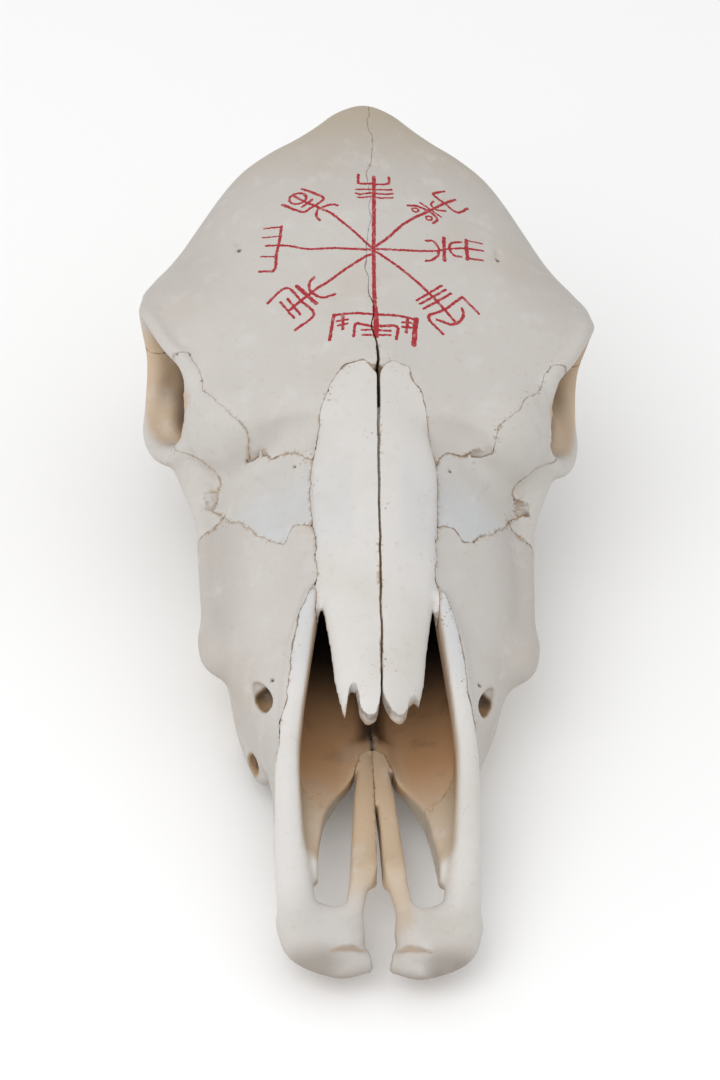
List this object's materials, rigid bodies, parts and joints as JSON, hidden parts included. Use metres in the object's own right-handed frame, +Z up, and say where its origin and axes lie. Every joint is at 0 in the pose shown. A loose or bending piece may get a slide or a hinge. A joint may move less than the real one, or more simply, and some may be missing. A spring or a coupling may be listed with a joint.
{
  "type": "cow skull",
  "caption": "Life-size polled cow skull, bleached and still, resting on its cheek teeth and the processes beside its condyles, parted into its bones.",
  "frame": {"origin": "bottom centre of the bounding box, on the floor that the skull rests on", "axes": "+Z up from the plane of the cheek teeth, -Y towards the nose, +Y towards the poll, +X towards the animal's left side"},
  "size_m": [0.2344, 0.4676, 0.1852],
  "materials": {
    "braincase_bone": "dry, unglazed bleached bone, matte",
    "frontal_bone": "dry, unglazed bleached bone, matte",
    "nasal_bone": "dry, unglazed bleached bone, matte",
    "lacrimal_bone": "dry, unglazed bleached bone, matte",
    "zygomatic_bone": "dry, unglazed bleached bone, matte",
    "maxilla_bone": "dry, unglazed bleached bone, matte",
    "incisive_bone": "dry, unglazed bleached bone, matte",
    "palatine_bone": "dry, unglazed bleached bone, matte",
    "temporal_bone": "dry, unglazed bleached bone, matte",
    "vomer_bone": "dry, unglazed bleached bone, matte"
  },
  "bodies": {
    "root": {"braincase": "braincase_bone", "frontal_left": "frontal_bone", "frontal_right": "frontal_bone", "nasal_left": "nasal_bone", "nasal_right": "nasal_bone", "lacrimal_left": "lacrimal_bone", "lacrimal_right": "lacrimal_bone", "zygomatic_left": "zygomatic_bone", "zygomatic_right": "zygomatic_bone", "maxilla_left": "maxilla_bone", "maxilla_right": "maxilla_bone", "incisive_left": "incisive_bone", "incisive_right": "incisive_bone", "palatine_left": "palatine_bone", "palatine_right": "palatine_bone", "temporal_left": "temporal_bone", "temporal_right": "temporal_bone", "vomer": "vomer_bone"}
  },
  "joints": []
}
